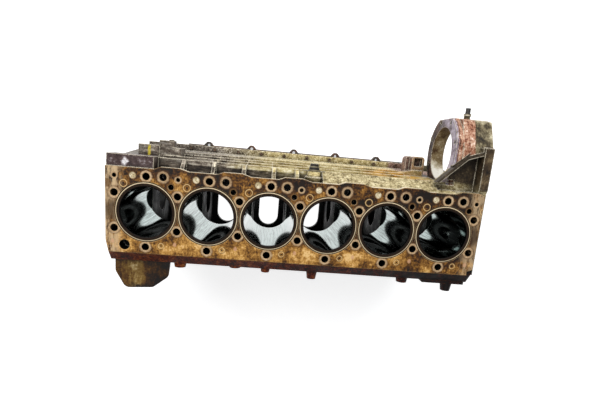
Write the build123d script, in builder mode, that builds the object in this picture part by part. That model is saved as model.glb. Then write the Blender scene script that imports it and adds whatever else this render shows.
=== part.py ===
from build123d import *
import os
from math import cos, radians, sin, sqrt

os.makedirs("parts", exist_ok=True)

# Driving dimensions in millimetres. The origin is on the crank axis at the middle main bearing,
# X runs along the crank to the flywheel end and Z along the cylinders to the head deck.

# Cylinders and deck
cylinder_count = 6
bore_pitch = 130.0
bore_radius = 54.0
deck_height = 345.0
front_overhang = 83.0
deck_rear_overhang = 82.0
rear_overhang = 87.0
deck_lip = 13.0
deck_edge_plain = 90.0
deck_edge_valley = 91.5
deck_edge_lobe = 97.0
lobe_start = 15.0
lobe_rise = 14.0
lobe_flat = 39.0
lobe_fall = 19.0

# Side walls, crankcase and bearing webs
plain_wall = 115.0
plain_wall_drop = 33.0
rear_pad_reach = 122.0
rear_pad_length = 108.0
pocket_wall = 86.0
shelf_drop = 45.0
wall_top = 108.0
skirt_half_width = 130.0
skirt_height = 62.0
skirt_shoulder_height = 112.0
skirt_wall = 12.0
web_thickness = 38.0
bay_roof_half_width = 94.0
crank_bore_radius = 43.0
split_flange_reach = 147.0
split_flange_thickness = 12.0

# Ribs of the pocketed side
rib_count = 4
rib_spacing = 48.0
rib_height = 7.0
rib_thickness = 7.0
rib_rear_end = 262.0
gusset_rib_thickness = 8.0
smooth_side_start = 46.0

# Lower crankcase frame
frame_depth = 112.0
frame_floor = 14.0
window_width = 60.0
window_length = 160.0
pan_flange_reach = 150.0
pan_flange_thickness = 12.0
pan_flange_gap = 88.0
frame_wall = 138.0
lug_reach = 160.0
lug_half_width = 12.0
lug_hole_reach = 150.0
lug_hole_radius = 4.5

# Wet liners and their seats
liner_flange_radius = 63.0
liner_flange_thickness = 9.0
liner_land_radius = 60.0
liner_length = 232.0
liner_gap = 1.2
liner_hang = 10.0
liner_clearance = 3.0
liner_fit = 0.03

# Holes in the deck
head_bolt_radius = 7.8
head_bolt_depth = 72.0
oil_drain_radius = 7.8
oil_drain_place = (34.5, 76.0)
water_hole_radius = 6.0
water_hole_place = (51.0, 56.5)
dowel_hole_radius = 4.4
dowel_hole_place = (65.4, 73.0)
deck_plug_radius = 6.5
deck_plug_place = (-27.4, 75.7)
deck_plug_thickness = 5.0
deck_plug_sink = 0.4
transfer_hole_radius = 11.0
transfer_hole_place = (-43.5, -72.6)
deck_hole_depth = 30.0
press_fit = 0.02

# Accessory drive housing at the flywheel end
ring_face = 330.0
ring_thickness = 31.0
ring_flange_thickness = 16.0
ring_radius = 86.0
ring_lobe_radius = 12.0
ring_bolt_circle = 76.0
ring_bolt_radius = 4.5
ring_bolt_count = 5
ring_bolt_step = 45.0
ring_bolt_first = -109.0
ring_bolt_depth = 18.0
pump_bore_radius = 60.0
pump_axis_y = 178.5
pump_axis_z = 245.0
housing_top = 257.0
housing_wall = 11.0
flange_plate_thickness = 20.0
flange_plate_top = 195.0
web_plate_thickness = 8.0
web_plate_drop = 10.0
web_recess_depth = 36.0
web_knee_y = 167.0
web_end_y = 178.0
hollow_foot = 42.0

# Water inlet drum and bosses
drum_width = 125.0
drum_reach = 184.0
drum_corner = 16.0
drum_taper = 10.0
drum_top_drop = 45.0
drum_height = 135.0
drum_front_gap = 5.0
corner_pad_length = 96.0
corner_pad_reach = 117.0
corner_pad_drop = 6.0
corner_pad_height = 54.0
core_plug_radius = 24.0
core_plug_height = 192.0
core_plug_thickness = 8.0
core_plug_sink = 2.0

# Dowels, plugs and the fitting
dowel_radius = 6.0
dowel_length = 24.0
dowel_stand = 10.0
dowel_high_place = (-100.0, 150.0)
dowel_low_place = (100.0, 40.0)
gallery_radius = 9.0
gallery_y = -98.0
gallery_z = 84.0
gallery_depth = 34.0
gallery_plug_length = 12.0
fitting_x = 365.0
fitting_z = 279.0
fitting_thread_radius = 5.0
fitting_thread_depth = 8.0
fitting_hex_radius = 7.5
fitting_hex_height = 7.0
fitting_collar_radius = 8.5
fitting_collar_height = 4.5
fitting_spigot_radius = 3.5
fitting_spigot_length = 8.0
fitting_cap_radius = 5.5
fitting_cap_length = 12.5

# Places that follow from the driving dimensions
bore_xs = [(i - (cylinder_count - 1) / 2) * bore_pitch for i in range(cylinder_count)]
web_xs = [(i - cylinder_count / 2) * bore_pitch for i in range(cylinder_count + 1)]
block_front = bore_xs[0] - front_overhang
deck_rear = bore_xs[-1] + deck_rear_overhang
block_rear = bore_xs[-1] + rear_overhang
shelf_height = deck_height - shelf_drop
lip_bottom = deck_height - deck_lip
head_bolt_ring = bore_pitch / sqrt(3)
bay_length = bore_pitch - web_thickness
liner_bottom = deck_height - liner_length
bay_roof = liner_bottom + liner_hang
housing_front = ring_face + ring_flange_thickness
web_plate_depth = web_recess_depth - web_plate_drop
cavity_front = ring_face + ring_thickness
plate_front = block_rear - flange_plate_thickness
ring_bolt_span = ring_bolt_count * ring_bolt_step
fitting_seat = housing_top + fitting_hex_height + fitting_collar_height


def wall_reach(z):
    """Outside of the pocketed side wall, which leans out from the shelf to the skirt."""
    share = (shelf_height - z) / (shelf_height - skirt_height)
    return wall_top + share * (skirt_half_width - wall_top)


def slab(points, plane, amount, mode=Mode.ADD):
    """A closed outline in a plane, carried along its normal."""
    with BuildSketch(plane) as outline:
        with BuildLine():
            Polyline(*points, close=True)
        make_face()
    extrude(outline.sketch, amount=amount, mode=mode)


# Drive housing shape: the outline across the engine meets the outline along it
with BuildPart() as housing_form:
    slab(
        [
            (deck_edge_plain, deck_height - 14),
            (flange_plate_top, deck_height - 12),
            (housing_top - 4, deck_height - 40),
            (housing_top, deck_height - 58),
            (housing_top, 100),
            (housing_top - 22, 0),
            (deck_edge_plain, 0),
        ],
        Plane.YZ.offset(ring_face),
        block_rear - ring_face,
    )
    slab(
        [
            (housing_front, deck_height),
            (block_rear, deck_height),
            (block_rear, 0),
            (block_rear - 6, 28),
            (housing_front + 10, pump_axis_z - ring_radius - 4),
            (housing_front, pump_axis_z - ring_radius + 12),
        ],
        Plane.XZ,
        -housing_top,
        mode=Mode.INTERSECT,
    )

# Hollow of the drive housing, open to the flywheel housing
with BuildPart() as housing_hollow:
    slab(
        [
            (wall_top + 16, deck_height - web_recess_depth - housing_wall),
            (web_end_y - 6, deck_height - web_recess_depth - housing_wall),
            (web_end_y + 8, deck_height - 38),
            (housing_top - 18, deck_height - 54),
            (housing_top - housing_wall, deck_height - 66),
            (housing_top - housing_wall, skirt_shoulder_height),
            (housing_top - 33, hollow_foot),
            (skirt_half_width + 12, hollow_foot),
            (wall_reach(skirt_shoulder_height) + 10, skirt_shoulder_height),
        ],
        Plane.YZ.offset(cavity_front),
        block_rear - cavity_front,
    )
    slab(
        [
            (cavity_front, deck_height),
            (block_rear + 1, deck_height),
            (block_rear + 1, hollow_foot - 2),
            (block_rear, hollow_foot + 10),
            (cavity_front, pump_axis_z - pump_bore_radius),
        ],
        Plane.XZ,
        -housing_top,
        mode=Mode.INTERSECT,
    )

# Core of one cylinder: the recess of the liner flange and the seat below it
with BuildPart() as cylinder_core:
    with BuildSketch(Plane.XZ) as core_outline:
        with BuildLine():
            seat = liner_land_radius + liner_fit
            flange = liner_flange_radius + liner_gap
            Polyline(
                (0, deck_height + 1),
                (flange, deck_height + 1),
                (flange, deck_height - liner_flange_thickness),
                (seat, deck_height - liner_flange_thickness),
                (seat, liner_bottom - liner_clearance),
                (0, liner_bottom - liner_clearance),
                close=True,
            )
        make_face()
    revolve(axis=Axis.Z)

# Cylinder block casting
with BuildPart() as cylinder_block:
    # Cylinder bank and upper crankcase, as one section along the crank
    slab(
        [
            (deck_edge_valley, deck_height),
            (deck_edge_valley, lip_bottom),
            (pocket_wall, lip_bottom),
            (pocket_wall, shelf_height),
            (wall_top, shelf_height),
            (skirt_half_width, skirt_height),
            (skirt_half_width, 0),
            (-skirt_half_width, 0),
            (-skirt_half_width, skirt_height),
            (-plain_wall, skirt_shoulder_height),
            (-plain_wall, deck_height - plain_wall_drop),
            (-deck_edge_plain, lip_bottom),
            (-deck_edge_plain, deck_height),
        ],
        Plane.YZ.offset(block_front),
        deck_rear - block_front,
    )
    # Flange that meets the lower crankcase frame
    with BuildSketch(Plane.XY) as split_outline:
        with Locations(((block_front + deck_rear) / 2, 0)):
            Rectangle(deck_rear - block_front, 2 * split_flange_reach)
    extrude(amount=split_flange_thickness)
    # Lobes of the deck around the oil drains
    for x in bore_xs:
        far_end = min(x + lobe_start + lobe_rise + lobe_flat + lobe_fall, deck_rear)
        flat_end = min(x + lobe_start + lobe_rise + lobe_flat, deck_rear - 1)
        slab(
            [
                (x + lobe_start, deck_edge_valley - 1),
                (x + lobe_start, deck_edge_valley),
                (x + lobe_start + lobe_rise, deck_edge_lobe),
                (flat_end, deck_edge_lobe),
                (far_end, deck_edge_valley),
                (far_end, deck_edge_valley - 1),
            ],
            Plane.XY.offset(lip_bottom),
            deck_lip,
        )
    # Smooth shoulder under the rear half of the deck edge
    slab(
        [
            (pocket_wall, lip_bottom + 1),
            (deck_edge_valley, lip_bottom + 1),
            (wall_top + rib_height, shelf_height),
            (pocket_wall, shelf_height),
        ],
        Plane.YZ.offset(smooth_side_start),
        housing_front - smooth_side_start,
    )
    # Long ribs of the leaning wall
    rib_front_end = block_front + corner_pad_length
    for i in range(rib_count):
        z = shelf_height - i * rib_spacing
        with BuildSketch(Plane.YZ.offset(rib_front_end)) as rib:
            with Locations((wall_reach(z) + rib_height / 2 - 2, z - rib_thickness / 2)):
                Rectangle(rib_height + 4, rib_thickness)
        extrude(amount=rib_rear_end - rib_front_end)
    # Gusset ribs every half pitch between the deck lip and the shelf
    gusset_xs = [x for x in web_xs + bore_xs if rib_front_end + 20 < x < smooth_side_start - 50]
    gusset_xs += [smooth_side_start - 60]
    for x in gusset_xs:
        slab(
            [
                (pocket_wall - 1, lip_bottom + 1),
                (deck_edge_valley, lip_bottom + 1),
                (wall_top + rib_height - 1, shelf_height + 1),
                (wall_top + rib_height - 1, shelf_height - 1),
                (pocket_wall - 1, shelf_height - 1),
            ],
            Plane.YZ.offset(x),
            gusset_rib_thickness,
        )
    # Dark corner pad beside the front of the deck
    pad_top = deck_height - corner_pad_drop
    slab(
        [
            (pocket_wall - 1, pad_top),
            (corner_pad_reach, pad_top - 3),
            (corner_pad_reach, pad_top - corner_pad_height),
            (wall_top - 6, pad_top - corner_pad_height - 16),
            (pocket_wall - 1, pad_top - corner_pad_height - 16),
        ],
        Plane.YZ.offset(block_front),
        corner_pad_length,
    )
    # Two square pads for accessories behind the corner pad, the second with a raised part
    pad_x = block_front + 61.5
    pads = (
        (pad_x, -82, 49.0, 55.0, 140.0),
        (pad_x + 47.5, -82, 49.0, 55.0, 137.0),
        (pad_x + 40, -67, 35.0, 25.0, 152.0),
    )
    for x, drop, width, height, reach in pads:
        with BuildSketch(Plane.XZ.offset(-wall_top + 6)) as pad:
            with Locations((x, shelf_height + drop)):
                RectangleRounded(width, height, 6)
        extrude(amount=-(reach - wall_top + 6))
    # Boss of the side plug, a drum with a cone on it
    side_boss_x = smooth_side_start - 19
    side_boss_z = shelf_height + 6
    for radius, foot, reach, taper in ((19.0, pocket_wall, 101.0, 0), (16.0, 101.0, 131.0, 14)):
        with BuildSketch(Plane.XZ.offset(-foot)) as boss:
            with Locations((side_boss_x, side_boss_z)):
                Circle(radius)
        extrude(amount=-(reach - foot), taper=taper)
    # Swelling of the wall towards the bracket boss in front of the drive housing
    bracket_x = ring_face - 29
    bracket_top = 180.0
    bracket_wall = wall_reach(bracket_top)
    slab(
        [
            (bracket_x - 70, bracket_wall - 12),
            (bracket_x - 68, bracket_wall - 2),
            (bracket_x - 12, bracket_wall + 14),
            (bracket_x + 12, bracket_wall + 14),
            (bracket_x + 12, bracket_wall - 12),
        ],
        Plane.XY.offset(bracket_top + 4),
        -40,
    )
    # Bracket boss with its square pocket, and a lower lobe beside it
    for x, top, width in ((bracket_x, bracket_top, 32), (bracket_x - 14, bracket_top - 20, 24)):
        with BuildSketch(Plane.XY.offset(top)) as bracket:
            with Locations((x, bracket_wall + 18)):
                RectangleRounded(width, 60, 8)
        extrude(amount=bracket_top - 52 - top)
    with BuildSketch(Plane.XY.offset(bracket_top + 12)) as bracket_pocket:
        with Locations((bracket_x, bracket_wall + 34)):
            RectangleRounded(21, 21, 4)
    extrude(amount=-26, mode=Mode.SUBTRACT)
    # Rear pad of the plain side, and round bosses along it
    slab(
        [
            (deck_rear - rear_pad_length, -plain_wall + 1),
            (deck_rear - rear_pad_length + 7, -rear_pad_reach),
            (deck_rear, -rear_pad_reach),
            (deck_rear, -plain_wall + 1),
        ],
        Plane.XY.offset(deck_height - plain_wall_drop),
        -86,
    )
    boss_z = deck_height - 46
    side_bosses = (
        (-259.0, 126.0, 15.0),
        (-135.0, 119.0, 14.0),
        (-65.0, 125.0, 12.0),
        (43.5, 133.5, 14.0),
        (260.0, 127.0, 15.0),
        (370.0, 141.0, 16.0),
    )
    for x, reach, radius in side_bosses:
        with BuildSketch(Plane.XZ.offset(plain_wall - 6)) as side_boss:
            with Locations((x, boss_z)):
                Circle(radius)
        extrude(amount=reach - plain_wall + 6, taper=9)
    # Water inlet drum cast on the front of the plain side
    drum_left = block_front + drum_front_gap
    drum_root = -liner_flange_radius - 8
    with BuildSketch(Plane.XY.offset(deck_height - drum_top_drop)) as drum_outline:
        with BuildLine():
            FilletPolyline(
                (drum_left, drum_root),
                (drum_left, -drum_reach + 39),
                (drum_left + 22, -drum_reach),
                (drum_left + drum_width - 41, -drum_reach + 4),
                (drum_left + drum_width - 6, -drum_reach + 32),
                (drum_left + drum_width, drum_root),
                radius=drum_corner,
            )
            Line((drum_left + drum_width, drum_root), (drum_left, drum_root))
        make_face()
    extrude(amount=-drum_height, taper=drum_taper)
    # Trimmed corners of the deck on the plain side
    corner_edge = -deck_edge_plain - 1
    for corner in (
        [(block_front - 1, -60), (block_front + 6, corner_edge), (block_front - 1, corner_edge)],
        [
            (deck_rear + 1, -76),
            (deck_rear + 1, corner_edge),
            (deck_rear - 12, corner_edge),
            (deck_rear - 13, -81),
        ],
    ):
        slab(corner, Plane.XY.offset(deck_height), -deck_lip, mode=Mode.SUBTRACT)
    # Flange plate of the flywheel face
    slab(
        [
            (-skirt_half_width, 0),
            (-skirt_half_width, skirt_height),
            (-plain_wall, skirt_shoulder_height),
            (-plain_wall, deck_height - plain_wall_drop),
            (-deck_edge_plain, lip_bottom),
            (-deck_edge_plain, deck_height - 8),
            (deck_edge_lobe, deck_height - 8),
            (deck_edge_lobe + 8, deck_height - 4),
            (flange_plate_top, deck_height - 4),
            (flange_plate_top + 4, deck_height - 24),
            (flange_plate_top + 4, 100),
            (split_flange_reach, 0),
        ],
        Plane.YZ.offset(plate_front),
        flange_plate_thickness,
    )
    add(housing_form.part)
    # Pump mounting ring with a lobe at each bolt, cut off level with the housing top
    ring_plane = Plane(
        origin=(ring_face, pump_axis_y, pump_axis_z), x_dir=(0, 1, 0), z_dir=(1, 0, 0)
    )
    with BuildSketch(ring_plane) as ring_outline:
        Circle(ring_radius)
        with PolarLocations(ring_bolt_circle, ring_bolt_count, ring_bolt_first, ring_bolt_span):
            Circle(ring_lobe_radius)
        with Locations((housing_top - pump_axis_y - 2 * ring_radius, 0)):
            Rectangle(4 * ring_radius, 4 * ring_radius, mode=Mode.INTERSECT)
    extrude(amount=ring_thickness)
    # Slanting web plate from the side wall up to the flange plate, over its recess
    web_top = deck_height - web_plate_drop
    web_start = (ring_face - 26, wall_top + 6)
    web_knee = (ring_face + 30, web_knee_y)
    web_end = (plate_front, web_end_y)
    slab(
        [
            web_start,
            web_knee,
            web_end,
            (plate_front, web_end[1] + web_plate_thickness),
            (web_knee[0] - 2, web_knee[1] + web_plate_thickness),
            (web_start[0] - web_plate_thickness, web_start[1]),
        ],
        Plane.XY.offset(web_top),
        -web_plate_depth,
    )
    slab(
        [
            (web_start[0], deck_edge_lobe),
            (plate_front, deck_edge_lobe),
            web_end,
            web_knee,
            web_start,
        ],
        Plane.XY.offset(deck_height),
        -web_recess_depth,
        mode=Mode.SUBTRACT,
    )
    # Hollow of the drive housing and the pump opening
    add(housing_hollow.part, mode=Mode.SUBTRACT)
    with BuildSketch(ring_plane) as pump_opening:
        Circle(pump_bore_radius)
    extrude(amount=ring_thickness + 0.5, mode=Mode.SUBTRACT)
    with BuildSketch(ring_plane) as ring_holes:
        with PolarLocations(ring_bolt_circle, ring_bolt_count, ring_bolt_first, ring_bolt_span):
            Circle(ring_bolt_radius)
    extrude(amount=ring_bolt_depth, mode=Mode.SUBTRACT)
    # Cylinders
    with Locations(*[(x, 0, 0) for x in bore_xs]):
        add(cylinder_core.part, mode=Mode.SUBTRACT)
    # Crank bays between the bearing webs
    for x in bore_xs:
        slab(
            [
                (skirt_half_width - skirt_wall, -1),
                (skirt_half_width - skirt_wall, skirt_height),
                (bay_roof_half_width, bay_roof),
                (-bay_roof_half_width, bay_roof),
                (-skirt_half_width + skirt_wall, skirt_height),
                (-skirt_half_width + skirt_wall, -1),
            ],
            Plane.YZ.offset(x - bay_length / 2),
            bay_length,
            mode=Mode.SUBTRACT,
        )
    # Upper halves of the main bearing bores
    with BuildSketch(Plane.YZ.offset(block_front - 1)) as crank_line:
        Circle(crank_bore_radius)
    extrude(amount=block_rear - block_front + 2, mode=Mode.SUBTRACT)
    # Head bolts, on a hexagon around every cylinder
    bolt_places = [(x, side * head_bolt_ring) for x in bore_xs for side in (1, -1)]
    bolt_places += [(x, side * head_bolt_ring / 2) for x in web_xs for side in (1, -1)]
    with BuildSketch(Plane.XY.offset(deck_height)) as head_bolts:
        with Locations(*bolt_places):
            Circle(head_bolt_radius)
    extrude(amount=-head_bolt_depth, mode=Mode.SUBTRACT)
    # Oil drains, water holes, locating holes and the large transfer hole
    dowel_xs = [bore_xs[0] - bore_pitch] + [bore_xs[i] for i in range(0, cylinder_count, 2)]
    dowel_xs += [bore_xs[-1]]
    with BuildSketch(Plane.XY.offset(deck_height)) as deck_holes:
        with Locations(*[(x + oil_drain_place[0], oil_drain_place[1]) for x in bore_xs]):
            Circle(oil_drain_radius)
        with Locations(*[(x + water_hole_place[0], water_hole_place[1]) for x in bore_xs]):
            Circle(water_hole_radius)
        with Locations(*[(x + dowel_hole_place[0], dowel_hole_place[1]) for x in dowel_xs]):
            Circle(dowel_hole_radius)
        with Locations((bore_xs[0] + transfer_hole_place[0], transfer_hole_place[1])):
            Circle(transfer_hole_radius)
    extrude(amount=-deck_hole_depth, mode=Mode.SUBTRACT)
    # Seats of the deck plugs
    with BuildSketch(Plane.XY.offset(deck_height)) as plug_seats:
        with Locations(*[(x + deck_plug_place[0], deck_plug_place[1]) for x in bore_xs]):
            Circle(deck_plug_radius)
    extrude(amount=-deck_plug_thickness - deck_plug_sink, mode=Mode.SUBTRACT)
    # Seats of the core plugs in the plain side
    with BuildSketch(Plane.XZ.offset(plain_wall)) as core_seats:
        with Locations(*[(x, core_plug_height) for x in bore_xs[1:]]):
            Circle(core_plug_radius)
    extrude(amount=-core_plug_thickness - core_plug_sink, mode=Mode.SUBTRACT)
    # Oil gallery ends in both end faces
    for face, inward in ((block_front, 1), (block_rear, -1)):
        with BuildSketch(Plane.YZ.offset(face)) as gallery:
            with Locations((gallery_y, gallery_z)):
                Circle(gallery_radius)
        extrude(amount=inward * gallery_depth, mode=Mode.SUBTRACT)
    # Dowel seats of the flywheel face
    dowel_places = [dowel_high_place, dowel_low_place]
    with BuildSketch(Plane.YZ.offset(block_rear)) as dowel_seats:
        with Locations(*dowel_places):
            Circle(dowel_radius + press_fit)
    extrude(amount=dowel_stand - dowel_length, mode=Mode.SUBTRACT)
    # Thread of the fitting on top of the drive housing
    with BuildSketch(Plane.XZ.offset(-housing_top)) as fitting_thread:
        with Locations((fitting_x, fitting_z)):
            Circle(fitting_thread_radius + press_fit)
    extrude(amount=fitting_thread_depth + 1, mode=Mode.SUBTRACT)

cylinder_block.part.label = "cylinder_block"
export_step(cylinder_block.part, "parts/cylinder_block.step")

# Lower crankcase frame with the lower halves of the main bearings
with BuildPart() as ladder_frame:
    half_section = [
        (split_flange_reach, 0),
        (split_flange_reach, -split_flange_thickness),
        (frame_wall, -split_flange_thickness - 8),
        (frame_wall, -frame_depth),
    ]
    slab(
        half_section + [(-y, z) for y, z in reversed(half_section)],
        Plane.YZ.offset(block_front),
        block_rear - block_front,
    )
    # Sump flange, which starts behind the front pads
    for side in (1, -1):
        slab(
            [
                (side * (frame_wall - 1), pan_flange_thickness - frame_depth + 8),
                (side * frame_wall, pan_flange_thickness - frame_depth + 8),
                (side * pan_flange_reach, pan_flange_thickness - frame_depth),
                (side * pan_flange_reach, -frame_depth),
                (side * (frame_wall - 1), -frame_depth),
            ],
            Plane.YZ.offset(block_front + pan_flange_gap),
            block_rear - block_front - pan_flange_gap,
        )
    # Lugs of the sump flange at every web, and one at the front that carries no bolt
    lugs = [(x, pan_flange_reach, lug_reach) for x in web_xs[1:-1]]
    lugs += [(block_front + 37, frame_wall, lug_reach - 4)]
    for x, foot, reach in lugs:
        for side in (1, -1):
            slab(
                [
                    (x - lug_half_width - 2, side * (foot - 1)),
                    (x - lug_half_width + 3, side * (reach - 4)),
                    (x - lug_half_width + 8, side * reach),
                    (x + lug_half_width - 8, side * reach),
                    (x + lug_half_width - 3, side * (reach - 4)),
                    (x + lug_half_width + 2, side * (foot - 1)),
                ],
                Plane.XY.offset(-frame_depth),
                pan_flange_thickness + 4,
            )
    # Crank bays, open at the bottom through a rounded window
    with BuildSketch(Plane.XY.offset(frame_floor - frame_depth)) as frame_bays:
        with Locations(*[(x, 0) for x in bore_xs]):
            Rectangle(bay_length, 2 * (frame_wall - skirt_wall))
    extrude(amount=frame_depth, mode=Mode.SUBTRACT)
    with BuildSketch(Plane.XY.offset(-frame_depth)) as windows:
        with Locations(*[(x, 0) for x in bore_xs]):
            SlotOverall(window_length, window_width, rotation=90)
    extrude(amount=frame_floor, mode=Mode.SUBTRACT)
    # Lower halves of the main bearing bores
    with BuildSketch(Plane.YZ.offset(block_front - 1)) as crank_line:
        Circle(crank_bore_radius)
    extrude(amount=block_rear - block_front + 2, mode=Mode.SUBTRACT)
    # Sump bolt holes through the lugs
    lug_places = [(x, side * lug_hole_reach) for x in web_xs[1:-1] for side in (1, -1)]
    with BuildSketch(Plane.XY.offset(-frame_depth)) as lug_holes:
        with Locations(*lug_places):
            Circle(lug_hole_radius)
    extrude(amount=pan_flange_thickness + 4, mode=Mode.SUBTRACT)

ladder_frame.part.label = "ladder_frame"
export_step(ladder_frame.part, "parts/ladder_frame.step")

# Wet liners, each hung by its flange in the deck
for i, x in enumerate(bore_xs):
    with BuildPart() as cylinder_liner:
        with BuildSketch(Plane.XY.offset(liner_bottom)) as tube:
            with Locations((x, 0)):
                Circle(liner_land_radius)
                Circle(bore_radius, mode=Mode.SUBTRACT)
        extrude(amount=liner_length)
        with BuildSketch(Plane.XY.offset(deck_height)) as flange_ring:
            with Locations((x, 0)):
                Circle(liner_flange_radius)
                Circle(bore_radius, mode=Mode.SUBTRACT)
        extrude(amount=-liner_flange_thickness)
    cylinder_liner.part.label = f"cylinder_liner_{i + 1}"
    export_step(cylinder_liner.part, f"parts/cylinder_liner_{i + 1}.step")

# Plugs pressed into the deck
for i, x in enumerate(bore_xs):
    with BuildPart() as deck_plug:
        with BuildSketch(Plane.XY.offset(deck_height - deck_plug_sink)) as plug_disc:
            with Locations((x + deck_plug_place[0], deck_plug_place[1])):
                Circle(deck_plug_radius - press_fit)
        extrude(amount=-deck_plug_thickness)
    deck_plug.part.label = f"deck_plug_{i + 1}"
    export_step(deck_plug.part, f"parts/deck_plug_{i + 1}.step")

# Core plugs of the plain side
for i, x in enumerate(bore_xs[1:]):
    with BuildPart() as core_plug:
        with BuildSketch(Plane.XZ.offset(plain_wall - core_plug_sink)) as plug_face:
            with Locations((x, core_plug_height)):
                Circle(core_plug_radius - press_fit)
        extrude(amount=-core_plug_thickness)
    core_plug.part.label = f"core_plug_{i + 2}"
    export_step(core_plug.part, f"parts/core_plug_{i + 2}.step")

# Plugs of the main oil gallery
for name, face, inward in (("front", block_front, 1), ("rear", block_rear, -1)):
    with BuildPart() as gallery_plug:
        with BuildSketch(Plane.YZ.offset(face + inward)) as plug_outline:
            with Locations((gallery_y, gallery_z)):
                Circle(gallery_radius - press_fit)
        extrude(amount=inward * gallery_plug_length)
        with BuildSketch(Plane.YZ.offset(face + inward)) as key_socket:
            with Locations((gallery_y, gallery_z)):
                RegularPolygon(gallery_radius / 2, 6)
        extrude(amount=inward * gallery_plug_length / 2, mode=Mode.SUBTRACT)
    gallery_plug.part.label = f"oil_gallery_plug_{name}"
    export_step(gallery_plug.part, f"parts/oil_gallery_plug_{name}.step")

# Dowels that locate the flywheel housing
with BuildPart() as flywheel_housing_dowels:
    with BuildSketch(Plane.YZ.offset(block_rear + dowel_stand)) as dowel_ends:
        with Locations(*dowel_places):
            Circle(dowel_radius)
    extrude(amount=-dowel_length)

flywheel_housing_dowels.part.label = "flywheel_housing_dowels"
export_step(flywheel_housing_dowels.part, "parts/flywheel_housing_dowels.step")

# Fitting screwed into the top of the drive housing, and its cap
with BuildPart() as housing_fitting:
    with BuildSketch(Plane.XZ.offset(-housing_top)) as thread:
        with Locations((fitting_x, fitting_z)):
            Circle(fitting_thread_radius)
    extrude(amount=fitting_thread_depth)
    with BuildSketch(Plane.XZ.offset(-housing_top)) as hexagon:
        with Locations((fitting_x, fitting_z)):
            RegularPolygon(fitting_hex_radius, 6)
    extrude(amount=-fitting_hex_height)
    with BuildSketch(Plane.XZ.offset(-housing_top - fitting_hex_height)) as collar:
        with Locations((fitting_x, fitting_z)):
            Circle(fitting_collar_radius)
    extrude(amount=-fitting_collar_height)
    with BuildSketch(Plane.XZ.offset(-fitting_seat)) as spigot:
        with Locations((fitting_x, fitting_z)):
            Circle(fitting_spigot_radius)
    extrude(amount=-fitting_spigot_length)

housing_fitting.part.label = "housing_fitting"
export_step(housing_fitting.part, "parts/housing_fitting.step")

with BuildPart() as fitting_cap:
    with BuildSketch(Plane.XZ.offset(-fitting_seat)) as cap_outline:
        with Locations((fitting_x, fitting_z)):
            Circle(fitting_cap_radius)
    extrude(amount=-fitting_cap_length)
    with BuildSketch(Plane.XZ.offset(-fitting_seat)) as cap_bore:
        with Locations((fitting_x, fitting_z)):
            Circle(fitting_spigot_radius + press_fit)
    extrude(amount=-fitting_spigot_length - 0.5, mode=Mode.SUBTRACT)

fitting_cap.part.label = "fitting_cap"
export_step(fitting_cap.part, "parts/fitting_cap.step")
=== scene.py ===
from math import radians

import bpy
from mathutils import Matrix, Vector


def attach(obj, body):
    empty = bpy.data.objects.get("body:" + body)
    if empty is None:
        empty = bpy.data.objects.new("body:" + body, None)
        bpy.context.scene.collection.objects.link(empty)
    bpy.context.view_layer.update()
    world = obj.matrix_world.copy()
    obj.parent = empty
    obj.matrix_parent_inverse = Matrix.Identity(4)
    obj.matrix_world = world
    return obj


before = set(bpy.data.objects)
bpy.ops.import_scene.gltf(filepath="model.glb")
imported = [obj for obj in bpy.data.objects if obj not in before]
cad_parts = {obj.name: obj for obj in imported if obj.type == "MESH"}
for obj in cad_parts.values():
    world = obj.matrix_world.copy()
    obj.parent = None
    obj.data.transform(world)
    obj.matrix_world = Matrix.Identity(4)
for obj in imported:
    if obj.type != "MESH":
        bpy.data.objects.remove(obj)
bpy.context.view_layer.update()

# Studio
# The block stands on its pan rail on a white floor, and the camera looks down on the deck from
# above its middle. A white room lights it evenly, and two large lamps give the soft highlights.
block_middle = Vector((0, 0, 0.2))
crop_off_axis = 50 / 600
scene = bpy.context.scene
scene.view_settings.view_transform = "Standard"

camera = bpy.data.objects.new("camera", bpy.data.cameras.new("camera"))
scene.collection.objects.link(camera)
camera.location = (-0.071217, 0.149273, 1.274094)
camera.rotation_euler = [radians(turn) for turn in (-12.8963, -3.7584, 5.0027)]
camera.data.sensor_width = 36
camera.data.lens = 25.98
camera.data.shift_y = crop_off_axis
camera.data.clip_start = 0.05
scene.camera = camera


def paint(code):
    """A colour code, turned into the light values that shaders count in."""
    parts = [int(code[i:i + 2], 16) / 255 for i in (0, 2, 4)]
    return tuple(p / 12.92 if p < 0.04045 else ((p + 0.055) / 1.055) ** 2.4 for p in parts) + (1,)


def fill(tree, made, inputs):
    """A node's inputs, set to values or joined to other nodes."""
    for name, value in inputs.items():
        if isinstance(value, bpy.types.NodeSocket):
            tree.links.new(value, made.inputs[name])
        else:
            made.inputs[name].default_value = value


def knot(tree, kind, inputs=None, **settings):
    """One shader node with its settings and inputs."""
    made = tree.nodes.new("ShaderNode" + kind)
    for name, value in settings.items():
        setattr(made, name, value)
    fill(tree, made, inputs or {})
    return made


def calc(tree, operation, a, b=0.0, c=0.0):
    """One sum on values that change over the surface."""
    return knot(tree, "Math", {0: a, 1: b, 2: c}, operation=operation).outputs[0]


room = bpy.data.worlds.new("white_room")
scene.world = room
room.use_nodes = True
tree = room.node_tree
tree.nodes.clear()
walls = knot(tree, "Background", {"Color": paint("f4f6f8"), "Strength": 0.5})
white = knot(tree, "Background", {"Color": (1, 1, 1, 1), "Strength": 1.0})
path = knot(tree, "LightPath").outputs
seen = calc(tree, "MAXIMUM", path["Is Camera Ray"], path["Is Transmission Ray"])

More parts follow.
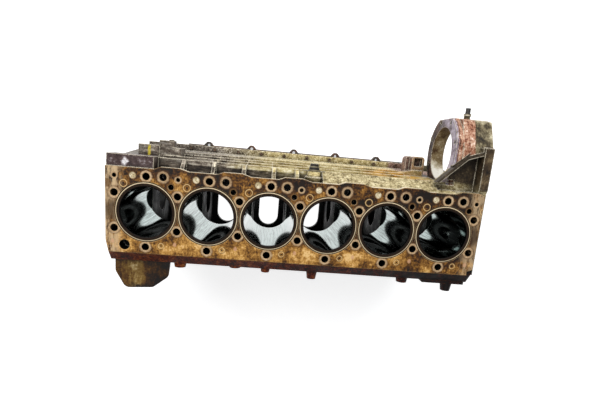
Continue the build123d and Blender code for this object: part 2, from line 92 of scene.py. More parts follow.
# The honed bores mirror a room whose ceiling is brighter than its walls
upward = knot(tree, "SeparateXYZ", {0: knot(tree, "TexCoord").outputs["Generated"]}).outputs[2]
brightness = knot(tree, "MapRange", {0: upward, 1: 0.62, 2: 0.93, 3: 0.35, 4: 1.15}).outputs[0]
ceiling = knot(tree, "Background", {"Color": (1, 1, 1, 1), "Strength": brightness})
lit = knot(tree, "MixShader", {0: path["Is Glossy Ray"], 1: walls.outputs[0], 2: ceiling.outputs[0]})
lit = knot(tree, "MixShader", {0: seen, 1: lit.outputs[0], 2: white.outputs[0]})
knot(tree, "OutputWorld", {0: lit.outputs[0]})

for name, place, size, power in (
    ("lamp_over_the_deck", (-0.9, 1.3, 1.9), 1.6, 40),
    ("lamp_beside_the_ribs", (0.9, 1.8, 1.1), 1.2, 22),
):
    lamp = bpy.data.objects.new(name, bpy.data.lights.new(name, "AREA"))
    scene.collection.objects.link(lamp)
    lamp.data.size = size
    lamp.data.energy = power
    lamp.location = place
    lamp.rotation_euler = (block_middle - Vector(place)).to_track_quat("-Z", "Y").to_euler()

# Floor
# A sheet of white paper a hair under the pan rail, with a soft shadow on it. It ends far outside
# the picture, and glows a little more under the block, where it shows through the bores.
floor_level = -0.1121
floor_glow = 0.60
glow_through_bores = 0.45


def new_recipe(name):
    """An empty material with its node tree."""
    made = bpy.data.materials.new(name)
    made.use_nodes = True
    made.node_tree.nodes.clear()
    return made, made.node_tree


bpy.ops.object.select_all(action="DESELECT")
bpy.ops.mesh.primitive_plane_add(size=8, location=(0, 0, floor_level))
floor = bpy.context.object
floor.name = "floor"
bpy.ops.object.transform_apply(location=True, rotation=True, scale=True)
paper, tree = new_recipe("floor_paper")
path = knot(tree, "LightPath").outputs
seen = calc(tree, "MAXIMUM", path["Is Camera Ray"], path["Is Glossy Ray"])
sheet = knot(tree, "BsdfDiffuse", {"Color": (0.8, 0.8, 0.8, 1)})
spot = knot(tree, "SeparateXYZ", {0: knot(tree, "TexCoord").outputs["Object"]}).outputs
along = knot(tree, "MapRange", {0: calc(tree, "ABSOLUTE", spot[0]), 1: 0.43, 2: 0.39}).outputs[0]
across = knot(tree, "MapRange", {0: calc(tree, "ABSOLUTE", spot[1]), 1: 0.135, 2: 0.10}).outputs[0]
under = calc(tree, "MULTIPLY", along, across)
strength = calc(tree, "MULTIPLY_ADD", under, glow_through_bores, floor_glow)
glow = knot(tree, "Emission", {"Color": (1, 1, 1, 1), "Strength": strength})
bright = knot(tree, "AddShader", {0: sheet.outputs[0], 1: glow.outputs[0]})
mixed = knot(tree, "MixShader", {0: seen, 1: sheet.outputs[0], 2: bright.outputs[0]})
knot(tree, "OutputMaterial", {0: mixed.outputs[0]})
floor.data.materials.append(paper)

# Cylinder block
# One grey iron casting. The deck is machined and has rusted golden brown, with clean rings where
# the head gasket sealed each hole; the sides are as cast, oily, stained and rubbed on the ribs.
# These places on it are in metres from the crank axis at the middle bearing.
half_pitch = 0.065
deck_level = 0.345
deck_edge = 0.100
bay_wall = 0.0855
machined_ends = 0.397
pocket_wall = 0.105
shelf_level = 0.300
lip_foot = 0.3325
smooth_start = 0.046
pad_end = -0.312
pad_foot = 0.268
boss_middle = 0.027
boss_half_width = 0.026
drum_end = -0.271
drum_root = -0.1155
web_start = 0.304
web_knee = 0.360
housing_start = 0.329
end_plate = 0.392
plate_side = 0.200
pump_axis = (0.0, 0.1785, 0.245)
pump_bore = 0.0608


def times(tree, first, *others):
    """Values multiplied, such as masks that narrow each other down."""
    for other in others:
        first = calc(tree, "MULTIPLY", first, other)
    return first


def shift(tree, value, amount, where=1.0):
    """A value raised or lowered, everywhere or where a mask says so."""
    return calc(tree, "MULTIPLY_ADD", where, amount, value)


def away_from(tree, value, level):
    """How far a value is from a level, on either side."""
    return calc(tree, "ABSOLUTE", calc(tree, "SUBTRACT", value, level))


def ramp(tree, value, start, end):
    """0 at start, 1 at end, and a soft change between them."""
    made = knot(tree, "MapRange", {0: value, 1: start, 2: end}, interpolation_type="SMOOTHSTEP")
    return made.outputs[0]


def beyond(tree, value, level, soft):
    """1 where a value is over a level, 0 where it is under it."""
    return ramp(tree, value, level - soft, level + soft)


def short_of(tree, value, level, soft):
    """1 where a value is under a level, 0 where it is over it."""
    return ramp(tree, value, level + soft, level - soft)


def band(tree, value, low, high, soft):
    """1 between low and high, with soft ends."""
    return times(tree, beyond(tree, value, low, soft), short_of(tree, value, high, soft))


def point(tree, x, y, z=0.0):
    """A place put together from its three numbers."""
    return knot(tree, "CombineXYZ", {0: x, 1: y, 2: z}).outputs[0]


def distance(tree, place, other):
    """How far apart two places are."""
    return knot(tree, "VectorMath", {0: place, 1: other}, operation="DISTANCE").outputs["Value"]


def from_nearest_bore(tree, x):
    """The way along the block from the nearest cylinder's axis."""
    return calc(tree, "WRAP", calc(tree, "SUBTRACT", x, half_pitch), half_pitch, -half_pitch)


def coat(tree, amount, under, over):
    """One colour laid over another by an amount."""
    made = knot(tree, "Mix", {0: amount}, data_type="RGBA")
    for socket, value in ((6, under), (7, over)):
        fill(tree, made, {socket: paint(value) if isinstance(value, str) else value})
    return made.outputs[2]


def shades(tree, value, *codes):
    """A run of colours along a value, evenly spaced from 0 to 1."""
    made = tree.nodes.new("ShaderNodeValToRGB")
    stops = made.color_ramp.elements
    for i, code in enumerate(codes):
        where = i / (len(codes) - 1)
        stop = stops[i] if i < 2 else stops.new(where)
        stop.position = where
        stop.color = paint(code)
    tree.links.new(value, made.inputs[0])
    return made.outputs[0]


def speckle(tree, place, size, detail=4.0, rough=0.6):
    """Uneven patches of about one size, from 0 to 1."""
    looks = {"Vector": place, "Scale": 1 / size, "Detail": detail, "Roughness": rough}
    return knot(tree, "TexNoise", looks).outputs["Fac"]


def drawn(tree, place, *scale):
    """A place stretched along an axis, so that the patches on it turn into streaks."""
    return knot(tree, "Mapping", {"Vector": place, "Scale": scale}).outputs[0]


def mottle(tree, *layers):
    """Patches of several sizes in one value around a half, each with its share."""
    total = 0.5 - 0.5 * sum(share for patches, share in layers)
    for patches, share in layers:
        total = shift(tree, total, share, patches)
    return total


def worn_edges(tree, radius, sharpest):
    """The surface direction rounded off at the edges, and a mask of those edges."""
    rounded = knot(tree, "Bevel", {"Radius": radius}, samples=4).outputs[0]
    facing = knot(tree, "NewGeometry").outputs["Normal"]
    bend = knot(tree, "VectorMath", {0: facing, 1: rounded}, operation="DOT_PRODUCT")
    return rounded, ramp(tree, bend.outputs["Value"], 0.990, sharpest)


def bumpy(tree, strength, depth, height, facing=None):
    """The surface direction with bumps on it."""
    inputs = {"Strength": strength, "Distance": depth, "Height": height}
    if facing is not None:
        inputs["Normal"] = facing
    return knot(tree, "Bump", inputs).outputs[0]


def finish(tree, looks):
    """The shader of a material, with its colour, roughness and the like."""
    knot(tree, "OutputMaterial", {0: knot(tree, "BsdfPrincipled", looks).outputs[0]})


def dress(piece, material):
    """A piece in one material."""
    piece.data.materials.clear()
    piece.data.materials.append(material)


def open_group(name, places, numbers, gives):
    """A node group that takes places and plain numbers, and gives numbers."""
    made = bpy.data.node_groups.new(name, "ShaderNodeTree")
    sockets = ((places, "INPUT", "Vector"), (numbers, "INPUT", "Float"), (gives, "OUTPUT", "Float"))
    for labels, way, kind in sockets:
        for label in labels:
            made.interface.new_socket(label, in_out=way, socket_type="NodeSocket" + kind)
    return made, made.nodes.new("NodeGroupInput").outputs, made.nodes.new("NodeGroupOutput").inputs


def use_group(tree, group, inputs):
    """The group's outputs at one place in a material."""
    made = tree.nodes.new("ShaderNodeGroup")
    made.node_tree = group
    fill(tree, made, inputs)
    return made.outputs


# Round mark on a flat face: a disc with an uneven rim
round_mark, takes, gives = open_group(
    "round_mark", ("Place", "Centre"), ("Radius", "Soft", "Uneven"), ("Mark",))
wobble = speckle(round_mark, takes["Place"], 0.006, 3)
away = distance(round_mark, takes["Place"], takes["Centre"])
away = shift(round_mark, away, takes["Uneven"], calc(round_mark, "SUBTRACT", wobble, 0.5))
edge = calc(round_mark, "SUBTRACT", takes["Radius"], away)
edge = calc(round_mark, "DIVIDE", edge, takes["Soft"])
edge = calc(round_mark, "ADD", edge, 0.5)
edge = knot(round_mark, "Clamp", {0: edge}).outputs[0]
round_mark.links.new(edge, gives["Mark"])

# Cast skin: the pebbled surface of sand-cast iron as a height, and the grime on it
cast_skin, takes, gives = open_group("cast_skin", ("Place",), ("Coarse", "Fine"), ("Height", "Grime"))
lumps = speckle(cast_skin, takes["Place"], 0.012, 5)
pebbles = speckle(cast_skin, takes["Place"], 0.0022, 3)
height = times(cast_skin, lumps, takes["Coarse"])
height = shift(cast_skin, height, takes["Fine"], pebbles)
cast_skin.links.new(height, gives["Height"])
grime = ramp(cast_skin, speckle(cast_skin, takes["Place"], 0.035, 6, 0.65), 0.42, 0.66)
cast_skin.links.new(grime, gives["Grime"])

casting, tree = new_recipe("block_casting")
place = knot(tree, "TexCoord").outputs["Object"]
x, y, z = knot(tree, "SeparateXYZ", {0: place}).outputs
x_size, y_size = calc(tree, "ABSOLUTE", x), calc(tree, "ABSOLUTE", y)
lean = knot(tree, "SeparateXYZ", {0: knot(tree, "NewGeometry").outputs["Normal"]}).outputs
soft_facing, edges = worn_edges(tree, 0.0028, 0.90)
skin = use_group(tree, cast_skin, {"Place": place, "Coarse": 0.5, "Fine": 0.35})
fine = speckle(tree, place, 0.004, 5, 0.7)
blot = speckle(tree, place, 0.014, 5, 0.7)
broad = speckle(tree, place, 0.045, 4, 0.6)
streaks = speckle(tree, drawn(tree, place, 0.22, 1.0, 1.0), 0.0065, 5, 0.75)
scored = speckle(tree, drawn(tree, place, 1.0, 0.10, 1.0), 0.0016, 3, 0.6)
scraped = speckle(tree, drawn(tree, place, 1.0, 0.2, 1.0), 0.006, 5, 0.75)
drips = speckle(tree, drawn(tree, place, 1.0, 0.35, 0.35), 0.005, 5, 0.75)
# Painted shade: ambient occlusion finds the hollows and creases, which the sides darken into below
hollow_shade = knot(tree, "AmbientOcclusion", {"Distance": 0.035}, samples=6).outputs["AO"]
hollow_shade = ramp(tree, hollow_shade, 0.85, 0.30)

# Deck: dark brown along the ribbed side and at the flywheel end, golden along the plain side, and
# scraped pale at both ends
tone = shift(tree, mottle(tree, (broad, 2.3), (blot, 1.3), (fine, 1.2), (scored, 0.55)), -0.10)
tone = shift(tree, tone, 0.24, ramp(tree, shift(tree, y, 0.03, broad), -0.030, -0.052))
tone = shift(tree, tone, -0.17, ramp(tree, y, 0.030, 0.070))
tone = shift(tree, tone, -0.20, ramp(tree, x, 0.06, 0.34))
burnt = times(tree, ramp(tree, y, -0.079, -0.085), ramp(tree, blot, 0.44, 0.56))
tone = shift(tree, tone, -0.20, burnt)
rust = shades(tree, tone, "120903", "3a210b", "6b4619", "976b30", "c2924b", "e0b97c")
ends = times(tree, ramp(tree, x_size, 0.366, 0.390), ramp(tree, scraped, 0.38, 0.56))
more_at_front = shift(tree, 0.6, 0.25, ramp(tree, x, 0.0, -0.1))
rust = coat(tree, times(tree, ends, more_at_front), rust, "cdb088")

# Dark bridges between the bores. The pattern of the deck repeats at every cylinder
along = from_nearest_bore(tree, x)
repeated = point(tree, along, y)
mirrored = point(tree, calc(tree, "ABSOLUTE", along), y_size)
bridge = ramp(tree, distance(tree, mirrored, (half_pitch, 0.0, 0.0)), 0.036, 0.012)
rust = coat(tree, times(tree, bridge, 0.85), rust, "2c1a0c")


def marks(spots, where, radius, colour, under, amount=1.0, soft=0.0016, uneven=0.004, clear=0.0):
    """Round marks laid over the deck's colour, or rings where they have a clear middle."""
    for spot in spots:
        shape = {"Place": where, "Centre": (*spot, 0.0), "Soft": soft, "Uneven": uneven}
        disc = use_group(tree, round_mark, {**shape, "Radius": radius})["Mark"]
        if clear:
            middle = use_group(tree, round_mark, {**shape, "Radius": clear})["Mark"]
            disc = calc(tree, "SUBTRACT", disc, middle)
        under = coat(tree, times(tree, disc, amount), under, colour)
    return under


# Clean rings around the holes, where the gasket sealed
head_bolts = [(0.0, 0.075), (half_pitch, 0.0375)]
oil_drains = [(0.0345, 0.076)]
water_holes = [(0.051, 0.0565)]
deck_plugs = [(-0.0275, 0.0757)]
dowel_holes = [(2 * half_pitch * i - 0.3896, 0.073) for i in (0, 1, 3, 5, 6)]
clean = shades(tree, mottle(tree, (blot, 1.0), (fine, 1.6)), "5c4128", "a58763", "c4a884", "dcc7a6")
deck = marks(head_bolts, mirrored, 0.0142, "4a2d13", rust, 0.7, 0.004)
deck = marks(head_bolts, mirrored, 0.0120, clean, deck, 0.92, 0.0022)
deck = marks(oil_drains, repeated, 0.0146, "4a2d13", deck, 0.7, 0.004)
deck = marks(oil_drains, repeated, 0.0124, clean, deck, 0.75, 0.0026)
deck = marks(water_holes, repeated, 0.0092, "5f3f1b", deck, 0.8, 0.003)
deck = marks(deck_plugs, repeated, 0.0084, "54391b", deck, 0.9, 0.002)
deck = marks(dowel_holes, point(tree, x, y), 0.0075, clean, deck, 0.9, 0.002, 0.002)

# Small round prints of the gasket between the holes, and a pale spot beside each bore
for spot, size in (((-0.046, 0.058), 0.0082), ((0.0328, -0.0709), 0.0066)):
    deck = marks([spot], repeated, size + 0.001, "4a2d13", deck, 0.8, 0.0008, 0.003, size - 0.0003)
    deck = marks([spot], repeated, size, "d9b67c", deck, 0.8, 0.0009, 0.003, size - 0.0016)
    deck = marks([spot], repeated, size - 0.0024, "5a3816", deck, 0.7, 0.0009, 0.003, size - 0.0034)
    deck = marks([spot], repeated, 0.0019, "140c06", deck, 1.0, 0.0009, 0.0)
deck = marks([(0.062, -0.066)], repeated, 0.0042, "c99a78", deck, 0.7, 0.002, 0.004)

# Plain side: dark red-brown, more orange on the bosses, and lighter along the top as a painted
# highlight
tone = shift(tree, mottle(tree, (blot, 1.6), (fine, 1.7)), 0.12, ramp(tree, z, 0.316, 0.338))
tone = shift(tree, tone, -0.10, ramp(tree, z, 0.25, 0.30))
on_bosses = times(tree, ramp(tree, y, -0.1165, -0.1215), ramp(tree, x, 0.36, 0.30))
tone = shift(tree, tone, 0.16, on_bosses)
tone = shift(tree, tone, -0.16, ramp(tree, x, -0.12, 0.06))
tone = shift(tree, tone, -0.30, ramp(tree, x, 0.12, 0.34))
plain = shades(tree, tone, "0c0302", "2b0a04", "4f1a0b", "713312", "95541f", "b57d3e")

# Inlet drum: olive brown, a pale painted highlight down it, painted shade toward its right side, and
# black at its lower right that is painted shadow mixed with oily grime
tone = shift(tree, mottle(tree, (blot, 1.1), (scraped, 1.1), (fine, 0.8)), -0.06)
# Painted highlight: a pale streak down the drum's left side
tone = shift(tree, tone, 0.22, band(tree, shift(tree, x, 0.02, blot), -0.352, -0.336, 0.012))
tone = shift(tree, tone, -0.12, ramp(tree, x, -0.384, -0.392))
# Painted shade: the drum darkens toward its right side
tone = shift(tree, tone, -0.30, ramp(tree, x, -0.345, -0.322))
drum = shades(tree, tone, "150a03", "351f08", "543613", "745826", "9c8250", "c9b88e")
# Painted shadow at the drum's lower right, mixed with oily grime and red-brown streaks
oil_and_shade = calc(tree, "ADD", ramp(tree, x, -0.330, -0.304), ramp(tree, y, -0.166, -0.182))
oil_and_shade = calc(tree, "ADD", oil_and_shade, calc(tree, "SUBTRACT", skin["Grime"], 0.8))
oil_and_shade = times(tree, knot(tree, "Clamp", {0: oil_and_shade}).outputs[0], 0.94)
drum = coat(tree, oil_and_shade, drum, coat(tree, ramp(tree, scraped, 0.58, 0.66), "0a0503", "5a2c14"))
on_drum = times(tree, short_of(tree, x, drum_end, 0.003), short_of(tree, y, drum_root, 0.001))
plain = coat(tree, on_drum, plain, drum)

# Pocketed side: grey and dark at the front, cream and olive further back
runs = knot(tree, "Mix", {0: ramp(tree, z, 0.10, 0.22), 2: fine, 3: streaks}).outputs[0]
worked = mottle(tree, (broad, 0.5), (blot, 1.2), (runs, 1.9), (fine, 0.8))
grey, cream = shift(tree, worked, 0.02), shift(tree, worked, 0.10)
front = shades(tree, grey, "0d0a08", "2f2822", "5f5448", "93887a", "c9c0af", "efe9dc")
back = shades(tree, cream, "1b140b", "57472a", "94824f", "bfad78", "dccf9f", "f4ecd0")
ribbed = coat(tree, ramp(tree, shift(tree, x, 0.16, broad), -0.13, 0.04), front, back)
stained = times(tree, ramp(tree, x, -0.20, -0.28), ramp(tree, blot, 0.44, 0.56), 0.75)
ribbed = coat(tree, stained, ribbed, "2a2019")

# Low ribs rubbed pale and small dark lumps, both too slight to stand out in the casting
for rib in (-0.19, -0.122, -0.065):
    ridge = times(tree, band(tree, x, rib - 0.0012, rib + 0.0012, 0.0005),
                  ramp(tree, z, 0.16, 0.19), ramp(tree, streaks, 0.36, 0.46))
    ribbed = coat(tree, ridge, ribbed, "ded3ba")
lumps = ((-0.165, 0.131, 0.20), (-0.176, 0.119, 0.255), (-0.058, 0.110, 0.288), (-0.305, 0.125, 0.235))
for spot in lumps:
    shape = {"Place": place, "Centre": spot, "Radius": 0.0085, "Soft": 0.006, "Uneven": 0.008}
    lump = use_group(tree, round_mark, shape)["Mark"]
    ribbed = coat(tree, times(tree, lump, 0.85), ribbed, "2b2018")

# Orange stain by the bracket
stain = ramp(tree, calc(tree, "ADD", broad, times(tree, blot, 0.5)), 0.60, 0.80)
golden = times(tree, ramp(tree, x, 0.13, 0.20), stain, ramp(tree, z, 0.02, 0.18), 0.85)
orange = shades(tree, worked, "5a3a10", "b5812f", "dfae4c", "efcf86")
ribbed = coat(tree, golden, ribbed, orange)

# Pockets under the deck, dark with dirt and painted shade and darkest at the front, and the smooth
# band behind them
pocket = shades(tree, mottle(tree, (blot, 1.0), (streaks, 2.2)),
                "0b0807", "1d1713", "40372e", "7b6f60", "b9ae9b")
# Painted shade, with dirt, in the pockets under the deck's overhang
in_pocket = times(tree, short_of(tree, y, pocket_wall, 0.001), ramp(tree, z, 0.2990, 0.2997),
                  shift(tree, 1.0, -0.45, ramp(tree, x, -0.14, 0.02)))
ribbed = coat(tree, in_pocket, ribbed, pocket)
smooth = shades(tree, mottle(tree, (blot, 1.7), (fine, 1.8), (streaks, 0.8)),
                "1d170d", "54482f", "8a7b54", "b0a27a", "cdc29c", "ece4c6")
on_band = times(tree, beyond(tree, x, smooth_start, 0.002), beyond(tree, z, shelf_level, 0.002))
ribbed = coat(tree, on_band, ribbed, smooth)

# Corner pad: dark maroon with a pale silver patch painted as a highlight, and a rubbed outer edge
# Painted highlight: a small pale diamond on the pad's top
pad_highlight = shift(tree, away_from(tree, y, 0.1025), 1.15, away_from(tree, x, -0.3706))
pad_highlight = times(tree, ramp(tree, pad_highlight, 0.0145, 0.0045), 0.85)
rubbed = times(tree, band(tree, x, -0.388, -0.346, 0.006), ramp(tree, y, 0.1155, 0.1185), 0.45)
tone = shift(tree, mottle(tree, (blot, 1.2), (fine, 0.7)), 0.55, calc(tree, "ADD", pad_highlight, rubbed))
maroon = shades(tree, tone, "0c0606", "1d1111", "302120", "493937", "978e8e", "dedada")
on_pad = times(tree, short_of(tree, x, pad_end, 0.001), beyond(tree, z, pad_foot, 0.002))
ribbed = coat(tree, on_pad, ribbed, maroon)

# Deck lip rubbed pale, the turned boss of the side plug, a stroke of yellow paint, and pink primer
lip = times(tree, band(tree, z, lip_foot, deck_level + 0.001, 0.0008),
            band(tree, x, -0.3105, 0.299, 0.003), ramp(tree, fine, 0.34, 0.44))
ribbed = coat(tree, lip, ribbed, "d9ceb6")
wave = {"Vector": place, "Scale": 42.0, "Distortion": 1.5, "Detail": 2.0}
rings = knot(tree, "TexWave", wave, bands_direction="Y").outputs["Fac"]
tone = shift(tree, times(tree, worked, 0.35), 0.7, rings)
on_boss = times(tree, short_of(tree, away_from(tree, x, boss_middle), boss_half_width, 0.001),
                beyond(tree, y, 0.113, 0.001), beyond(tree, z, 0.273, 0.003))
ribbed = coat(tree, on_boss, ribbed, shades(tree, tone, "080706", "1b1713", "3a3429", "857b62"))
stroke = times(tree, band(tree, x, -0.3485, -0.3425, 0.001), ramp(tree, fine, 0.38, 0.52),
               short_of(tree, z, 0.265, 0.001), beyond(tree, z, 0.230, 0.005))
ribbed = coat(tree, stroke, ribbed, "c9b436")
primed = times(tree, ramp(tree, x, 0.262, 0.276), ramp(tree, z, 0.188, 0.176))
ribbed = coat(tree, primed, ribbed, shades(tree, worked, "2a1c17", "5b443a", "9a7a6a", "cbb0a2"))

# Drive housing: lilac ring flange with painted shade on its low side and a painted shadow line behind
# it, salmon band, olive-grey body, dark plate
worked = shift(tree, mottle(tree, (blot, 1.3), (drips, 2.0), (fine, 1.2)), -0.05)
salmon = shades(tree, worked, "2c120a", "6f3c28", "a06f55", "b99379", "dccab9", "f7f3ee")
worked = shift(tree, mottle(tree, (broad, 1.4), (blot, 1.0), (drips, 0.9), (fine, 0.5)), -0.05)
tone = shift(tree, shift(tree, worked, -0.10), 0.34, ramp(tree, y, 0.242, 0.258))
tone = shift(tree, tone, 0.16, ramp(tree, x, 0.402, 0.408))
shaded = times(tree, ramp(tree, broad, 0.48, 0.56), ramp(tree, y, 0.222, 0.236))
tone = shift(tree, tone, -0.30, shaded)
body = shades(tree, tone, "171209", "413724", "766b50", "a09679", "cfc7ae", "f0ebdc")
body = coat(tree, ramp(tree, shift(tree, x, 0.012, blot), 0.3805, 0.3765), body, salmon)
lilac = shades(tree, worked, "2d2529", "6d6068", "9f95a4", "bcb4c2", "e2dee7")
# Painted shade: darker brown on the ring flange's lower side
low_side_shade = shades(tree, worked, "120c0a", "33251f", "6b5248", "a58f88")
lilac = coat(tree, ramp(tree, shift(tree, z, 0.04, blot), 0.232, 0.272), low_side_shade, lilac)
uneven_x = shift(tree, x, 0.010, blot)
body = coat(tree, ramp(tree, uneven_x, 0.3405, 0.3385), body, lilac)
# Painted shadow: a thin dark line just behind the ring flange
body = coat(tree, band(tree, uneven_x, 0.3405, 0.3425, 0.0006), body, "4a3129")
plate = shades(tree, worked, "0f0b07", "2c2115", "4b3c28", "77664b", "b3a587")
on_plate = times(tree, ramp(tree, x, 0.3912, 0.3922), short_of(tree, y, plate_side, 0.0005))
body = coat(tree, on_plate, body, plate)
on_housing = times(tree, beyond(tree, x, housing_start, 0.0005), ramp(tree, y, 0.100, 0.104))
ribbed = coat(tree, on_housing, ribbed, body)

# Web plate from the deck to the ring: a place is outside its bent edge by web_line
near = shift(tree, 0.114, 0.946, calc(tree, "SUBTRACT", x, web_start))
far = shift(tree, 0.167, 0.344, calc(tree, "SUBTRACT", x, web_knee))
web_line = calc(tree, "SUBTRACT", y, calc(tree, "MINIMUM", near, far))
before_plate = short_of(tree, x, end_plate, 0.0005)
sunk = times(tree, ramp(tree, z, 0.3120, 0.3160), before_plate,
             band(tree, web_line, 0.0, 0.0150, 0.0006), ramp(tree, x, 0.366, 0.360))
level = times(tree, band(tree, z, 0.3340, 0.3360, 0.0005), band(tree, web_line, 0.0, 0.0095, 0.0006))
web_top = times(tree, calc(tree, "MAXIMUM", sunk, level), beyond(tree, x, 0.296, 0.0005))
web_tone = shades(tree, mottle(tree, (blot, 1.0), (fine, 1.5)), "120d08", "271f15", "43382a", "7d6f58")
web_rim = calc(tree, "SUBTRACT", 1.0, band(tree, web_line, 0.0014, 0.0140, 0.0007))
web_tone = coat(tree, times(tree, web_rim, ramp(tree, fine, 0.36, 0.46)), web_tone, "cfc5ae")

# Recess between the deck and the web plate, dark with a pale glint across its floor
recess = shades(tree, mottle(tree, (blot, 1.6), (fine, 1.2)), "0b0805", "231b12", "453927", "7d6f56")
slanting = shift(tree, shift(tree, y, 0.10, x), 0.020, blot)
recess = coat(tree, ramp(tree, slanting, 0.166, 0.154), recess, smooth)
in_recess = times(tree, beyond(tree, x, web_start, 0.0005), before_plate,
                  ramp(tree, z, 0.3080, 0.3085), ramp(tree, web_line, 0.0010, -0.0002))
ribbed = coat(tree, in_recess, ribbed, recess)

# Wall of the pump bore, pale where light reaches it
from_pump = distance(tree, point(tree, 0.0, y, z), pump_axis)
in_bore = times(tree, short_of(tree, from_pump, pump_bore, 0.0004), beyond(tree, x, 0.331, 0.0005))
tone = mottle(tree, (broad, 1.2), (blot, 0.6), (fine, 0.5))
tone = shift(tree, tone, 0.50, ramp(tree, y, 0.172, 0.134))
tunnel = shades(tree, tone, "0d0806", "2a1c11", "4f3b26", "857455", "c9c0aa", "efece2")
ribbed = coat(tree, in_bore, ribbed, tunnel)

# Both sides together, darkened in the hollows by painted shade and rubbed on the edges, with the deck
# on top
sides = coat(tree, ramp(tree, y, -0.02, 0.02), plain, ribbed)
sides = coat(tree, times(tree, hollow_shade, 0.85), sides, "17110c")
rubbed = times(tree, edges, ramp(tree, y, 0.06, 0.09), ramp(tree, fine, 0.36, 0.50))
worn = coat(tree, rubbed, sides, "e6dcc4")
worn = coat(tree, times(tree, edges, ramp(tree, y, -0.06, -0.09), 0.35), worn, "8a5224")
worn = coat(tree, web_top, worn, web_tone)
on_deck = times(tree, beyond(tree, z, deck_level - 0.0005, 0.0002), beyond(tree, lean[2], 0.8, 0.1),
                short_of(tree, y, deck_edge, 0.001))
colour = coat(tree, on_deck, worn, deck)
colour = coat(tree, times(tree, on_deck, edges, 0.6), colour, "c9a676")

# Machined end faces, and the seats of the liners and crank bays inside, painted near black as shade,
# with painted highlights on their edges
end_face = times(tree, ramp(tree, calc(tree, "ABSOLUTE", lean[0]), 0.90, 0.95),
                 beyond(tree, x_size, machined_ends, 0.001))
turned = shades(tree, mottle(tree, (broad, 1.6), (blot, 1.2), (scraped, 0.8), (fine, 0.6)),
                "1c130c", "40301f", "6a563d", "8d7a60", "b3a389")
colour = coat(tree, times(tree, end_face, 0.9), colour, turned)
# Painted shade inside the block, with painted highlights on the inner edges for the bores to mirror
inside = times(tree, ramp(tree, z, 0.3435, 0.342), short_of(tree, y_size, bay_wall, 0.0003),
               calc(tree, "SUBTRACT", 1.0, end_face))
colour = coat(tree, inside, colour, coat(tree, edges, "070605", "e6e1d6"))

cast_bumps = bumpy(tree, 0.55, 0.0012, skin["Height"], soft_facing)
deck_bumps = bumpy(tree, 0.18, 0.0006, fine, soft_facing)
surface = knot(tree, "Mix", {0: on_deck, 4: cast_bumps, 5: deck_bumps}, data_type="VECTOR")
gloss = shift(tree, 0.62, -0.22, skin["Grime"])
gloss = calc(tree, "SUBTRACT", gloss, times(tree, on_drum, 0.15))
finish(tree, {"Base Color": colour, "Roughness": gloss, "Metallic": 0.05,
              "Normal": surface.outputs[1], "Specular IOR Level": 0.22})
dress(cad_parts["cylinder_block"], casting)

# Lower crankcase frame
# A second iron casting, bolted under the block, with the lower halves of the main bearings and
# the rail of the sump. It is oily inside and painted near black there as shade, with painted
# highlights on its inner edges, and stained brown and grey outside.
inner_width = 0.126
inner_length = 0.405
frame_iron, tree = new_recipe("frame_casting")
place = knot(tree, "TexCoord").outputs["Object"]
axes = knot(tree, "SeparateXYZ", {0: place}).outputs
x_size, y_size = calc(tree, "ABSOLUTE", axes[0]), calc(tree, "ABSOLUTE", axes[1])
soft_facing, edges = worn_edges(tree, 0.003, 0.92)
skin = use_group(tree, cast_skin, {"Place": place, "Coarse": 0.5, "Fine": 0.35})
blot = speckle(tree, place, 0.014, 5, 0.7)
fine = speckle(tree, place, 0.004, 5, 0.7)
stain = shades(tree, mottle(tree, (blot, 1.5), (fine, 1.5)),
               "090807", "191613", "302a24", "544b3e", "9b8f7a")
stain = coat(tree, times(tree, skin["Grime"], 0.6), stain, "241d17")
within = times(tree, short_of(tree, y_size, inner_width, 0.001),
               short_of(tree, x_size, inner_length, 0.001))
# Painted shade inside the frame, with painted highlights on its inner edges
stain = coat(tree, within, stain, coat(tree, edges, "070605", "a8a296"))
rubbed = times(tree, edges, ramp(tree, y_size, 0.126, 0.130), 0.5)
stain = coat(tree, rubbed, stain, "8f836f")
rusty = times(tree, ramp(tree, speckle(tree, place, 0.05, 5, 0.7), 0.44, 0.60),
              ramp(tree, blot, 0.36, 0.56), shift(tree, 0.65, -0.65, within))
stain = coat(tree, rusty, stain, "6a3c1c")
finish(tree, {"Base Color": stain, "Roughness": shift(tree, 0.6, -0.25, skin["Grime"]),
              "Metallic": 0.15, "Normal": bumpy(tree, 0.5, 0.0012, skin["Height"], soft_facing)})
dress(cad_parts["ladder_frame"], frame_iron)

# Bolts of the lower frame
# Hexagon heads with a washer face, seated on top of the block's split flange on both sides. They
# hold the frame under the block. The photograph hides them.
bolt_count = 12
first_bolt = -0.3575
bolt_line = 0.1385
flange_top = 0.0120
head_top = 0.0182
washer_face = (32, 0.0042, flange_top, 0.0132)
hexagon = (6, 0.0040, 0.0128, head_top)
bolt_steel, tree = new_recipe("bolt_steel")
place = knot(tree, "TexCoord").outputs["Object"]
patches = mottle(tree, (speckle(tree, place, 0.012, 4), 1.6), (speckle(tree, place, 0.003, 4), 1.2))
steel = shades(tree, patches, "120b07", "33241a", "5d4a38", "8b7a64")
finish(tree, {"Base Color": steel, "Roughness": 0.45, "Metallic": 0.5})
for side, name in ((1, "right"), (-1, "left")):
    bpy.ops.object.select_all(action="DESELECT")
    heads = []
    for i in range(bolt_count):
        spot = (first_bolt + half_pitch * i, side * bolt_line)
        for corners, radius, low, high in (washer_face, hexagon):
            bpy.ops.mesh.primitive_cylinder_add(vertices=corners, radius=radius, depth=high - low,
                                                location=(*spot, (low + high) / 2))
            heads.append(bpy.context.object)
    bpy.ops.object.select_all(action="DESELECT")
    for head in heads:
        head.select_set(True)
    bpy.context.view_layer.objects.active = heads[0]
    bpy.ops.object.join()
    row = bpy.context.object
    row.name = f"frame_bolts_{name}"
    bpy.ops.object.transform_apply(location=True, rotation=True, scale=True)
    row.data.materials.append(bolt_steel)
    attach(row, "root")
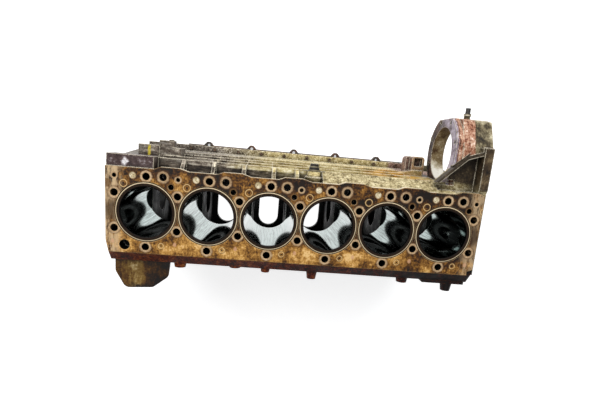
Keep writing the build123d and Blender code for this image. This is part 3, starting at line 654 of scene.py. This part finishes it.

# Wet cylinder liners
# Six turned iron tubes hung by their flanges in the deck. The bores are honed, oiled and mirror
# bright, with a painted highlight round their lower ends; the fire ring on top is scraped clean,
# with a dark carbon band inside it.
liner_iron, tree = new_recipe("liner_iron")
place = knot(tree, "TexCoord").outputs["Object"]
x, y, z = knot(tree, "SeparateXYZ", {0: place}).outputs
from_axis = distance(tree, point(tree, from_nearest_bore(tree, x), y), (0.0, 0.0, 0.0))
fine = speckle(tree, place, 0.003, 4, 0.6)
wiped = speckle(tree, drawn(tree, place, 1.0, 1.0, 0.04), 0.0035, 4, 0.7)
honed = shades(tree, mottle(tree, (wiped, 2.2), (fine, 0.5)), "4d5352", "8b9997", "adbdb9", "cdd8da")
honed = coat(tree, ramp(tree, z, 0.334, 0.342), honed, "1a130c")
# Painted highlight: a white band at the liner's lower end, mirrored as bright arcs in the bores
honed = coat(tree, ramp(tree, z, 0.1165, 0.1155), honed, "f2f6f5")
ring = coat(tree, ramp(tree, fine, 0.35, 0.65), "0d0805", "2b1b0c")
ring = coat(tree, ramp(tree, from_axis, 0.0562, 0.0548), ring, "060403")
ring = coat(tree, band(tree, from_axis, 0.0608, 0.0623, 0.0004), ring, "d9c4a0")
ring = coat(tree, ramp(tree, from_axis, 0.0628, 0.0632), ring, "1a0f07")
top = ramp(tree, z, 0.3445, 0.3448)
rounded = knot(tree, "Bevel", {"Radius": 0.004}, samples=8).outputs[0]
finish(tree, {"Base Color": coat(tree, top, honed, ring), "Roughness": shift(tree, 0.07, 0.45, top),
              "Metallic": calc(tree, "SUBTRACT", 1.0, top), "Specular IOR Level": 0.12,
              "Normal": bumpy(tree, 0.05, 0.0002, wiped, rounded)})
for i in range(6):
    dress(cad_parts[f"cylinder_liner_{i + 1}"], liner_iron)

# Plugs and dowels
# Pressed steel plugs in the deck and side wall, screwed plugs of the oil gallery, and two ground
# dowels. The deck plugs are rubbed pale; the rest are dull and a little rusty.
plug_steel, tree = new_recipe("plug_steel")
place = knot(tree, "TexCoord").outputs["Object"]
z = knot(tree, "SeparateXYZ", {0: place}).outputs[2]
fine = speckle(tree, place, 0.003, 4, 0.6)
blot = ramp(tree, speckle(tree, place, 0.009, 4, 0.6), 0.38, 0.64)
pale = coat(tree, blot, "a8966f", "dccfb0")
pale = coat(tree, ramp(tree, fine, 0.42, 0.30), pale, "4d3c24")
dull = coat(tree, blot, "4a3f33", "8a7d6a")
steel = coat(tree, ramp(tree, z, 0.341, 0.338), pale, dull)
finish(tree, {"Base Color": steel, "Roughness": ramp(tree, fine, 0.2, 1.1), "Metallic": 0.4,
              "Normal": bumpy(tree, 0.3, 0.0005, fine)})
for name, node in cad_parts.items():
    if "plug" in name or "dowel" in name:
        dress(node, plug_steel)

# Fitting and cap
# A brass union screwed into the top of the drive housing, dark with oil and bright on its collar,
# under a black rubber cap.
collar_low = 0.2638
collar_high = 0.2668
brass, tree = new_recipe("fitting_brass")
place = knot(tree, "TexCoord").outputs["Object"]
y = knot(tree, "SeparateXYZ", {0: place}).outputs[1]
metal = coat(tree, ramp(tree, speckle(tree, place, 0.005, 4, 0.6), 0.36, 0.62), "1f1a13", "5f5238")
metal = coat(tree, band(tree, y, collar_low, collar_high, 0.0004), metal, "b3aa96")
finish(tree, {"Base Color": metal, "Roughness": 0.4, "Metallic": 0.6})
dress(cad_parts["housing_fitting"], brass)
rubber, tree = new_recipe("cap_black")
place = knot(tree, "TexCoord").outputs["Object"]
black = coat(tree, ramp(tree, speckle(tree, place, 0.004, 4, 0.6), 0.36, 0.66), "14110f", "2f2a26")
finish(tree, {"Base Color": black, "Roughness": 0.55})
dress(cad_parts["fitting_cap"], rubber)
